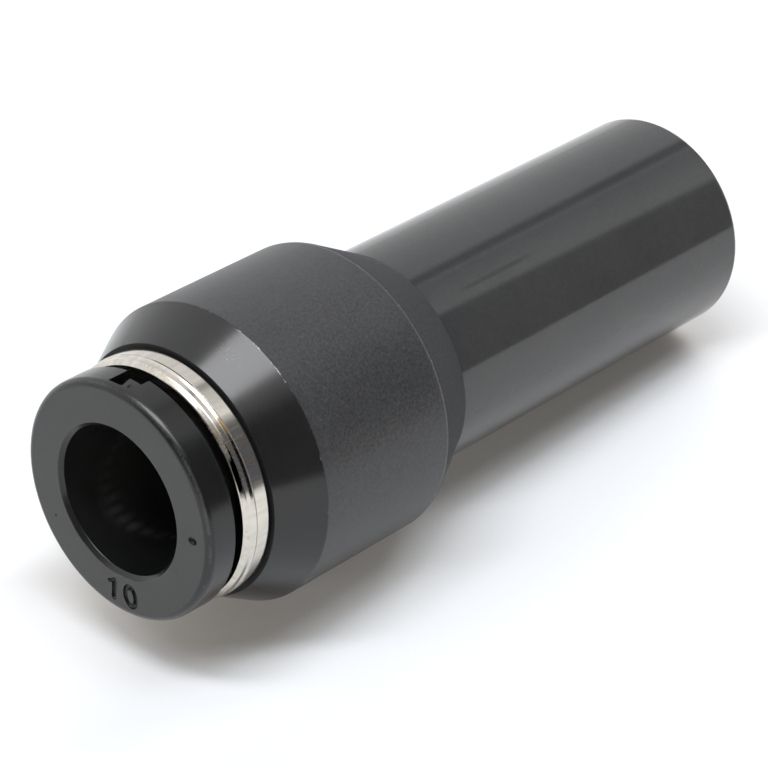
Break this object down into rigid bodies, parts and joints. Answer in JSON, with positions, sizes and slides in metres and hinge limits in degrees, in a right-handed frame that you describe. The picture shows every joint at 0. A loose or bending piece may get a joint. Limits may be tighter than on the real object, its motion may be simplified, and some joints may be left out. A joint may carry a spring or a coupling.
{
  "type": "push-in reducer fitting",
  "caption": "Push-in tube reducer: socket with a sprung release ring on a round body, and a plain stem that plugs into a larger push-in socket.",
  "frame": {"origin": "centre of the stem's end face, on which the fitting stands", "axes": "+Z along the axis from the stem's end towards the tube socket's mouth, +X towards the notch in the release ring's flange"},
  "size_m": [0.021, 0.021, 0.0552],
  "materials": {
    "body": "charcoal glass-filled resin, fine matte on the cylinder, glossier on the cone and the stem",
    "guide_ring": "nickel-plated, bright turned bands",
    "release_ring": "black satin acetal",
    "lock_claws": "stamped stainless sheet",
    "elastic_sleeve": "black nitrile rubber"
  },
  "bodies": {
    "housing": {"body": "body", "guide_ring": "guide_ring", "elastic_sleeve": "elastic_sleeve"},
    "claw_ring": {"lock_claws": "lock_claws"},
    "release_ring": {"release_ring": "release_ring"}
  },
  "joints": [
    {"name": "tube_swivel", "type": "hinge", "parent": "housing", "child": "claw_ring", "pos_m": [0, 0, 0.04585], "axis": [0, 0, 1], "continuous": true},
    {"name": "ring_press", "type": "slide", "parent": "claw_ring", "child": "release_ring", "axis": [0, 0, -1], "range_m": [0, 0.0007], "stiffness_N_per_m": 6000, "deforming": ["lock_claws"]}
  ]
}
